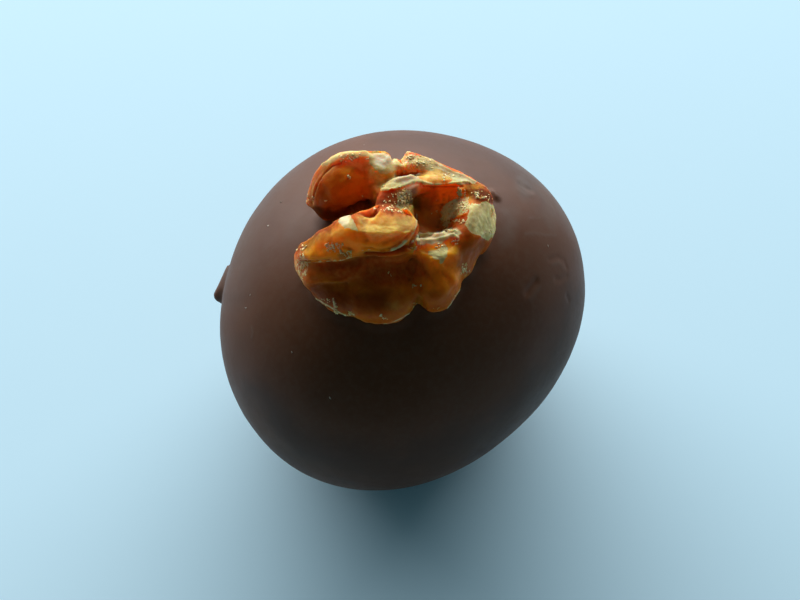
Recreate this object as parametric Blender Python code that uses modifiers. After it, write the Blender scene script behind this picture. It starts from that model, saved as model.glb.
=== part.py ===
"""A hand-dipped chocolate candy with a piece of walnut kernel set on its top.

Frame: metres, +Z up, origin at the middle of the flat foot, +Y towards the back of the candy.
The chocolate is one solid ball, a little oval in plan, with a small drawn tail on its left side.
The walnut is one solid: rounded lobes and folded ridges fused together, then hollowed and seated.
"""

import math

import bmesh
import bpy
from mathutils import Euler, Matrix, Vector, noise

MM = 0.001

# The chocolate ball
BODY_RADIUS = 20.0 * MM
BODY_HEIGHT = 35.0 * MM
WAIST_HEIGHT = 17.0 * MM
BELLY_DEPTH = 20.0 * MM
OVAL = 0.049
OVAL_TURN = math.radians(45.0)
THREE_SIDED = 0.021
THREE_SIDED_TURN = math.radians(9.0)
HAND_UNEVENNESS = 0.22 * MM
UNEVEN_SPAN = 14.0 * MM
BODY_SUBDIVISIONS = 5
FOOT_EDGE_ANGLE = math.radians(28.0)

# The tail that the dipping fork drew on the left side
TAIL_ROOT = Vector((-17.35, 3.5, 16.75)) * MM
TAIL_TIP = Vector((-20.75, 1.95, 16.5)) * MM
TAIL_ROOT_RADIUS = 3.7 * MM
TAIL_TIP_RADIUS = 0.3 * MM

# The walnut kernel: finished fineness and the gap it keeps over the chocolate
SEAT_GAP = 0.35 * MM
FUSE_VOXEL = 0.28 * MM
FINISH_VOXEL = 0.30 * MM
WRINKLE_DEPTH = 0.16 * MM
WRINKLE_SPAN = 1.9 * MM
WALNUT_TRIANGLES = 7600

# Lobes of the kernel: name, centre and radii in mm from the top of the ball, turn in degrees
LOBES = (
    ("rear_left_bulge", (-5.05, 2.4, 1.0), (3.85, 2.4, 4.1), (-14, -8, 14)),
    ("rear_left_heel", (-2.2, 3.3, 1.9), (2.3, 1.9, 3.5), (0, 0, -6)),
    ("rear_join", (-1.6, 1.6, 1.6), (2.4, 2.2, 2.7), (0, 0, 0)),
    ("front_bulge", (-4.6, -5.5, 0.5), (5.2, 2.8, 2.9), (10, -10, 8)),
    ("front_left_end", (-8.3, -4.4, -0.4), (2.1, 2.1, 2.7), (0, 0, 0)),
    ("front_left_foot", (-5.7, -7.2, -0.9), (3.7, 2.3, 2.4), (0, 0, -36)),
    ("front_foot", (-1.9, -8.1, -0.5), (3.8, 2.9, 2.7), (0, 6, 4)),
    ("right_front_knob", (3.6, -7.0, 0.1), (2.35, 2.9, 2.9), (0, 0, -24)),
    ("right_front_fold", (3.5, -5.2, 1.9), (2.6, 1.8, 2.6), (0, 12, -12)),
    ("right_flank", (5.3, -4.0, 0.3), (2.2, 3.9, 2.8), (0, 0, -30)),
    ("right_side_bulge", (6.7, -1.1, 0.7), (2.65, 3.1, 3.1), (0, 0, 0)),
    ("middle_wall", (-0.2, -0.8, 2.0), (1.6, 3.6, 3.6), (0, 0, 0)),
    ("rear_fill", (3.2, 2.5, 1.4), (3.8, 1.9, 2.5), (0, 0, -14)),
    ("core", (1.6, -2.4, -0.2), (6.4, 5.2, 2.6), (0, 0, 0)),
)

# Folded ridges: name, then stations of x, y, z and radius in mm
RIDGES = (
    ("front_curl", ((-9.2, -4.5, 1.2, 1.1), (-6.8, -4.5, 3.6, 1.5), (-4.3, -4.4, 5.3, 1.8),
                    (-1.7, -4.1, 6.1, 2.0), (0.1, -4.3, 5.9, 1.8), (0.0, -5.4, 5.2, 1.3))),
    ("curl_wall", ((-7.6, -4.6, 0.9, 1.5), (-5.2, -4.7, 2.4, 1.7), (-2.6, -4.5, 3.1, 1.8),
                   (0.0, -4.4, 3.2, 1.8))),
    ("middle_ridge", ((-0.6, -3.4, 5.5, 1.5), (-0.9, -1.6, 5.2, 1.5), (-0.3, 0.2, 4.8, 1.5),
                      (1.6, 1.5, 4.4, 1.1), (4.0, 2.0, 3.9, 0.75), (6.4, 1.8, 3.1, 0.8))),
    ("curl_lip", ((-9.5, -5.2, 2.3, 0.5), (-7.1, -6.0, 3.8, 0.6), (-4.6, -6.1, 4.5, 0.65),
                  (-2.4, -6.0, 4.8, 0.65), (-0.8, -6.1, 4.9, 0.65), (0.7, -6.0, 5.3, 0.7))),
    ("rear_wall", ((0.8, 4.6, 3.5, 1.2), (2.6, 4.2, 3.0, 1.3), (4.4, 3.4, 2.3, 1.4),
                   (6.5, 2.5, 2.0, 1.4), (7.8, 1.2, 1.8, 1.5))),
    ("right_wall", ((7.5, 0.9, 2.1, 1.5), (7.4, -1.3, 2.6, 1.6), (6.5, -3.2, 2.6, 1.4),
                    (4.6, -4.4, 3.1, 1.1), (2.6, -4.9, 3.8, 0.8))),
    ("rear_left_rim", ((-8.8, 2.3, 0.0, 0.7), (-8.05, 3.4, 2.4, 0.7), (-6.4, 4.1, 4.2, 0.8),
                       (-4.2, 4.3, 4.9, 0.8), (-1.6, 4.1, 4.9, 0.8))),
)

# Hollows between the folds: name, centre and radii in mm, turn in degrees
HOLLOWS = (
    ("deep_hollow", (3.6, -1.2, 4.4), (2.1, 2.6, 3.0), (0, -6, -14)),
    ("rear_hollow", (1.5, 2.8, 4.9), (1.3, 0.75, 1.2), (0, 0, -10)),
    ("rear_notch", (0.1, 5.4, 4.6), (0.45, 1.9, 1.8), (0, 0, 12)),
    ("left_cleft", (-6.5, -0.9, 1.6), (4.6, 1.4, 5.0), (0, 0, 4)),
    ("side_notch", (1.9, -9.7, -0.6), (0.6, 1.3, 2.4), (0, 0, 0)),
    ("knob_crease", (1.7, -7.6, 2.9), (0.55, 2.4, 1.5), (22, 0, 10)),
)

# Grooves under the lips, cut as thin tubes: name, then stations of x, y, z and radius in mm
GROOVES = (
    ("under_curl", ((-9.8, -5.7, 1.6, 0.45), (-7.3, -6.5, 3.0, 0.55), (-4.6, -6.7, 3.5, 0.65),
                    (-2.4, -6.6, 3.9, 0.7), (-0.8, -6.6, 3.9, 0.7), (0.8, -6.4, 4.3, 0.65),
                    (1.8, -5.3, 4.6, 0.5))),
    ("bulge_crease", ((-2.7, 2.7, 5.3, 0.3), (-2.7, 1.9, 4.7, 0.35), (-2.7, 1.0, 3.9, 0.4),
                      (-2.8, 0.1, 2.6, 0.4), (-3.0, -0.2, 0.8, 0.3))),
)

CHOCOLATE_COLOUR = (0.035, 0.018, 0.010, 1.0)
CHOCOLATE_ROUGHNESS = 0.42
WALNUT_COLOUR = (0.36, 0.13, 0.025, 1.0)
WALNUT_ROUGHNESS = 0.35

TOP_OF_BALL = Vector((0.0, 0.0, BODY_HEIGHT))


def clear_scene():
    for obj in list(bpy.data.objects):
        bpy.data.objects.remove(obj)


def new_collection(name):
    collection = bpy.data.collections.new(name)
    bpy.context.scene.collection.children.link(collection)
    return collection


def plain_material(name, colour, roughness):
    material = bpy.data.materials.new(name)
    material.use_nodes = True
    shader = material.node_tree.nodes["Principled BSDF"]
    shader.inputs["Base Color"].default_value = colour
    shader.inputs["Roughness"].default_value = roughness
    return material


def object_from_bmesh(name, bm, collection):
    mesh = bpy.data.meshes.new(name)
    bm.to_mesh(mesh)
    bm.free()
    obj = bpy.data.objects.new(name, mesh)
    collection.objects.link(obj)
    return obj


def applied(obj):
    """The object with its modifiers worked into its mesh."""
    bpy.context.view_layer.update()
    mesh = bpy.data.meshes.new_from_object(obj.evaluated_get(bpy.context.evaluated_depsgraph_get()))
    obj.modifiers.clear()
    obj.data = mesh
    return obj


def body_point(direction, grow=0.0):
    """Where the ball's surface lies in a direction from its waist, grown outwards by a margin."""
    heading = math.atan2(direction.y, direction.x)
    swell = (
        1.0
        + OVAL * math.cos(2.0 * (heading - OVAL_TURN))
        + THREE_SIDED * math.cos(3.0 * (heading - THREE_SIDED_TURN))
    )
    rise = BODY_HEIGHT - WAIST_HEIGHT if direction.z > 0.0 else BELLY_DEPTH
    point = Vector((
        direction.x * (BODY_RADIUS * swell + grow),
        direction.y * (BODY_RADIUS * swell + grow),
        WAIST_HEIGHT + direction.z * (rise + grow),
    ))
    dent = noise.noise(point / UNEVEN_SPAN) * HAND_UNEVENNESS
    return point + direction * dent


def ball(name, collection, grow=0.0):
    """The ball of chocolate with its flat foot cut at the floor."""
    bm = bmesh.new()
    bmesh.ops.create_icosphere(bm, subdivisions=BODY_SUBDIVISIONS, radius=1.0)
    for vert in bm.verts:
        vert.co = body_point(vert.co.normalized(), grow)
    floor_cut = bm.verts[:] + bm.edges[:] + bm.faces[:]
    cut = bmesh.ops.bisect_plane(
        bm, geom=floor_cut, plane_co=(0, 0, 0), plane_no=(0, 0, -1), clear_outer=True
    )
    rim = [item for item in cut["geom_cut"] if isinstance(item, bmesh.types.BMEdge)]
    bmesh.ops.contextual_create(bm, geom=rim)
    bmesh.ops.triangulate(bm, faces=[face for face in bm.faces if len(face.verts) > 4])
    bmesh.ops.recalc_face_normals(bm, faces=bm.faces[:])
    return object_from_bmesh(name, bm, collection)


def tail(collection):
    """The short drawn point of chocolate, a blunt cone that leans to the front."""
    reach = TAIL_TIP - TAIL_ROOT
    bm = bmesh.new()
    bmesh.ops.create_cone(
        bm, cap_ends=True, segments=24, depth=reach.length,
        radius1=TAIL_ROOT_RADIUS, radius2=TAIL_TIP_RADIUS,
    )
    turn = reach.to_track_quat("Z", "Y").to_matrix().to_4x4()
    bm.transform(Matrix.Translation(TAIL_ROOT + reach / 2.0) @ turn)
    return object_from_bmesh("tail_cutter", bm, collection)


def boolean(obj, other, operation):
    modifier = obj.modifiers.new(operation.lower(), "BOOLEAN")
    modifier.operation = operation
    modifier.object = other
    modifier.solver = "EXACT"
    return modifier


def build_chocolate(parts, guides):
    body = ball("chocolate_body", parts)
    point = tail(guides)
    boolean(body, point, "UNION")
    applied(body)
    bpy.data.objects.remove(point)
    body.data.shade_smooth()
    body.data.set_sharp_from_angle(angle=FOOT_EDGE_ANGLE)
    return body


def remesh(obj, voxel):
    modifier = obj.modifiers.new("fuse", "REMESH")
    modifier.mode = "VOXEL"
    modifier.voxel_size = voxel
    modifier.use_smooth_shade = True
    return modifier


def smooth(obj, factor, times):
    modifier = obj.modifiers.new("soften", "SMOOTH")
    modifier.factor = factor
    modifier.iterations = times
    return modifier


def add_ellipsoid(bm, centre, radii, turn):
    """One rounded lobe, sized in mm from the top of the ball."""
    made = bmesh.ops.create_uvsphere(bm, u_segments=28, v_segments=18, radius=1.0)
    place = Matrix.Translation(TOP_OF_BALL + Vector(centre) * MM)
    tilt = Euler([math.radians(angle) for angle in turn]).to_matrix().to_4x4()
    stretch = Matrix.Diagonal(Vector(radii) * MM).to_4x4()
    bmesh.ops.transform(bm, matrix=place @ tilt @ stretch, verts=made["verts"])


def ridge_mesh(name, stations):
    """A folded ridge: a tube of changing radius along a smooth curve, as a mesh."""
    curve = bpy.data.curves.new(name, "CURVE")
    curve.dimensions = "3D"
    curve.bevel_depth = MM
    curve.bevel_resolution = 4
    curve.resolution_u = 8
    curve.use_fill_caps = True
    spline = curve.splines.new("BEZIER")
    spline.bezier_points.add(len(stations) - 1)
    for point, (x, y, z, radius) in zip(spline.bezier_points, stations):
        point.co = TOP_OF_BALL + Vector((x, y, z)) * MM
        point.radius = radius
        point.handle_left_type = "AUTO"
        point.handle_right_type = "AUTO"
    obj = bpy.data.objects.new(name, curve)
    bpy.context.scene.collection.objects.link(obj)
    bpy.context.view_layer.update()
    mesh = bpy.data.meshes.new_from_object(obj.evaluated_get(bpy.context.evaluated_depsgraph_get()))
    bpy.data.objects.remove(obj)
    return mesh


def add_ridge(bm, name, stations):
    """The ridge's tube in the bmesh, with a ball on each end so that it finishes round."""
    mesh = ridge_mesh(name, stations)
    bm.from_mesh(mesh)
    bpy.data.meshes.remove(mesh)
    for x, y, z, radius in (stations[0], stations[-1]):
        add_ellipsoid(bm, (x, y, z), (radius, radius, radius), (0, 0, 0))
    bmesh.ops.remove_doubles(bm, verts=bm.verts[:], dist=0.00002)


def fused(name, lobes, ridges, collection):
    """Lobes and ridges that overlap, fused into one closed surface."""
    bm = bmesh.new()
    for _, centre, radii, turn in lobes:
        add_ellipsoid(bm, centre, radii, turn)
    for ridge_name, stations in ridges:
        add_ridge(bm, ridge_name, stations)
    obj = object_from_bmesh(name, bm, collection)
    remesh(obj, FUSE_VOXEL)
    return applied(obj)


def wrinkle(mesh):
    """Fine uneven folds in the kernel's skin, as noise along each vertex normal."""
    for vert in mesh.vertices:
        spot = vert.co / WRINKLE_SPAN
        fold = noise.noise(spot) + 0.5 * noise.noise(spot * 2.3)
        vert.co += vert.normal * fold * WRINKLE_DEPTH
    mesh.update()


def build_walnut(parts, guides):
    kernel = fused("walnut_kernel", LOBES, RIDGES, parts)
    hollows = fused("hollow_cutters", HOLLOWS, GROOVES, guides)
    boolean(kernel, hollows, "DIFFERENCE")
    seat = ball("seat_cutter", guides, SEAT_GAP)
    boolean(kernel, seat, "DIFFERENCE")
    remesh(kernel, FINISH_VOXEL)
    smooth(kernel, 0.5, 2)
    applied(kernel)
    wrinkle(kernel.data)
    for guide in (hollows, seat):
        bpy.data.objects.remove(guide)
    kernel.data.calc_loop_triangles()
    thin = kernel.modifiers.new("thin_out", "DECIMATE")
    thin.ratio = WALNUT_TRIANGLES / len(kernel.data.loop_triangles)
    thin.use_collapse_triangulate = True
    applied(kernel)
    kernel.data.shade_smooth()
    return kernel


def main():
    clear_scene()
    parts = new_collection("chocolate_candy")
    guides = new_collection("guides")
    body = build_chocolate(parts, guides)
    body.data.materials.append(plain_material("chocolate", CHOCOLATE_COLOUR, CHOCOLATE_ROUGHNESS))
    kernel = build_walnut(parts, guides)
    kernel.data.materials.append(plain_material("walnut", WALNUT_COLOUR, WALNUT_ROUGHNESS))


main()
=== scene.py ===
"""The looks of a hand-dipped chocolate candy with a piece of walnut kernel on its top.

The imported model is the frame. The chocolate and the walnut are each remade as one finer piece in the
place of their solids, and get their small forms and finishes here. Lengths are in metres, unless a
comment says millimetres. Points of the picture are in pixels of its 800 x 600 frame, and they land on
the surface that they show.
"""

import math
import random

import bmesh
import bpy
import numpy as np
from mathutils import Matrix, Vector, noise
from mathutils.bvhtree import BVHTree


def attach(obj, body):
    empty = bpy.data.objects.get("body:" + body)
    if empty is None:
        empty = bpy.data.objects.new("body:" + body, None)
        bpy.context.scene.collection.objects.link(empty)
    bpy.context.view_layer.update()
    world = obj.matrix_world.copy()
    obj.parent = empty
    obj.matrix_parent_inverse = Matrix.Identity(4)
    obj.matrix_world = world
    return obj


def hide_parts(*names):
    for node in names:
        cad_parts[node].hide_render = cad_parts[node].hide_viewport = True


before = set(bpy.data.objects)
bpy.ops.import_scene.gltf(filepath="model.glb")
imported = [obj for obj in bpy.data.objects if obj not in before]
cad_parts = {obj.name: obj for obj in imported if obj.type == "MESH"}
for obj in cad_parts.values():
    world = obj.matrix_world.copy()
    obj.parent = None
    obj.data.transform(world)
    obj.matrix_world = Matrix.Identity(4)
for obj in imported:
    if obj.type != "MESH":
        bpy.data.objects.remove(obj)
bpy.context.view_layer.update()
rng = random.Random(11)

MM = 0.001

# The camera: where it stands, what it looks at, and its lens in mm on a 36 mm sensor
AIM = Vector((0.02, 0.73, 17.0)) * MM
ELEVATION = math.radians(62.0)
DISTANCE = 160.0 * MM
LENS = 65.04
SENSOR = 36.0
NEAR_CLIP = 5.0 * MM
FRAME_WIDTH = 800.0
FRAME_HEIGHT = 600.0

# About how many pixels a millimetre of the candy takes up in the picture
PIXELS_PER_MM = 9.0

# The window behind the candy, the light of the room, and the pale paper
WINDOW_PLACE = Vector((-0.079, 0.748, 0.294))
WINDOW_TARGET = Vector((0.0, 0.0, 0.02))
WINDOW_WIDTH = 2.0
WINDOW_HEIGHT = 0.5
WINDOW_POWER = 27.0
ROOM_COLOUR = (0.50, 0.88, 1.0, 1.0)
ROOM_STRENGTH = 0.115
PAPER_RADIUS = 1.2

# Fineness of the two remade surfaces, and how many smoothing passes take the steps out of them
KERNEL_VOXEL = 0.125 * MM
KERNEL_PASSES = 6
BODY_VOXEL = 0.28 * MM
BODY_PASSES = 12
WELD = 0.002 * MM

# A vertex counts as seen by how far it is turned towards the camera: share = turned * slope + start
SEEN_SLOPE = 4.0
SEEN_START = 0.6

# An area stays near the surface that its middle shows: its reach against the outline's, and its fade
AREA_REACH = 1.6
AREA_FADE = 0.8 * MM

# How far the edges of the kernel's areas wander, in pixels
WANDER_COARSE = 2.2
WANDER_FINE = 1.2

# Relief of the kernel in mm: wrinkles and ripples of its skin, ripples and grit of its torn areas
SKIN_WRINKLES = 0.075
SKIN_RIPPLES = 0.03
TORN_RIPPLES = 0.03
TORN_GRIT = 0.022

# Extra softness in pixels of the outline that an area is flattened in, and the heights in mm it works on
FLAT_SOFT = 5.0
FLAT_DEEPEST = -1.8
FLAT_HIGHEST = 1.2

# Crests lose their skin and folds get painted shade: how far they stand out or lie in, in mm, from none to
# all
CREST_PASSES = 10
WORN_FROM = 0.018
WORN_RANGE = 0.05
FOLD_FROM = 0.012
FOLD_RANGE = 0.06
FOLD_DARK = 0.5
WORN_SEEN = 0.08
WORN_UNSEEN = 0.55

# Chocolate drawn up where the walnut was pressed in, in mm but for the height it starts above
PRESSED_ABOVE = 28.0 * MM
PRESSED_GAP = 0.3
PRESSED_REACH = 1.1
PRESSED_RISE = 0.42

# A crumb's length, width and height against its size, how rough its shape is, and how far it is sunk
CRUMB_LENGTH = (0.7, 1.7)
CRUMB_WIDTH = (0.5, 1.0)
CRUMB_HEIGHT = (0.4, 0.8)
CRUMB_ROUGHNESS = 0.7
CRUMB_SUNK = 0.1

# The chocolate's slow swells in mm, the wandering of its soft areas in pixels, and its specks in mm
SWELLS = 0.05
DRIFT = 9.0
SPECK_SIZE = 0.09

# The side of the chocolate that the photo doesn't show: how far it is turned to the camera, and its share
# On that side the chocolate's colour is darkened, taking off its painted sheen
HIDDEN_TURNED = (-0.8, -0.3, 0.12)
HIDDEN_SHARES = (1.0, 0.7, 0.0)

# Colours of the walnut, in linear light. A pair is the two tones that a finish is mottled from
SKIN = ((0.50, 0.095, 0.004, 1), (0.62, 0.165, 0.009, 1))
SKIN_SPOTS = (0.50, 0.070, 0.004, 1)
ORANGE = ((0.84, 0.38, 0.020, 1), (0.76, 0.27, 0.008, 1))
GOLD = ((0.72, 0.44, 0.10, 1), (0.66, 0.34, 0.060, 1))
# This amber is a painted glow of light through the kernel, laid on its shaded parts
PAINTED_GLOW = (0.96, 0.235, 0.008, 1)
RED = ((0.60, 0.070, 0.005, 1), (0.66, 0.13, 0.020, 1))
# Dark skin, also laid as painted shade on the kernel's lower front and feet and in its folds
DARK = (0.20, 0.030, 0.003, 1)
CREAM = ((0.66, 0.57, 0.26, 1), (0.56, 0.44, 0.16, 1))
GRAINS = (0.74, 0.60, 0.26, 1)
WHITE = (0.72, 0.70, 0.52, 1)
VEINS = (0.55, 0.36, 0.20, 1)
# Painted shade, multiplied into the colour; the unseen sides take it in patches too
SHADE = (0.25, 0.24, 0.22, 1)
CRUMB_TONES = ((0.80, 0.64, 0.30, 1), (0.76, 0.42, 0.11, 1))

# Colours of the chocolate and of the paper
# The chocolate's tones are lighter than its own, as a painted sheen; on the side turned from the camera they
# are darkened back
CHOCOLATE = ((0.088, 0.027, 0.0080, 1), (0.104, 0.035, 0.0125, 1))
CHOCOLATE_DUST = (0.110, 0.062, 0.038, 1)
# Grey fat bloom, also laid as a painted sheen on the ball's sides and a painted highlight under the walnut
BLOOM_AND_SHEEN = (0.140, 0.118, 0.098, 1)
# Painted shade, near the walnut and towards the ball's foot
DEEP = (0.58, 0.60, 0.66, 1)
HIDDEN = (0.36, 0.36, 0.40, 1)
SPECK_TONES = ((0.42, 0.36, 0.28, 1), (0.26, 0.19, 0.13, 1))
PAPER = ((0.60, 0.845, 0.98, 1), (0.61, 0.855, 0.985, 1))

# The finishes of the kernel's areas. speck adds fine grains, shade darkens as painted shade, amber is a
# painted glow, orange is the skin's orange and in places a painted glow, dark is dark skin and painted shade,
# bare_orange keeps the cream off
FINISHES = ("gold", "orange", "amber", "red", "dark", "speck", "cream", "white", "shade", "bare_orange")

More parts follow.
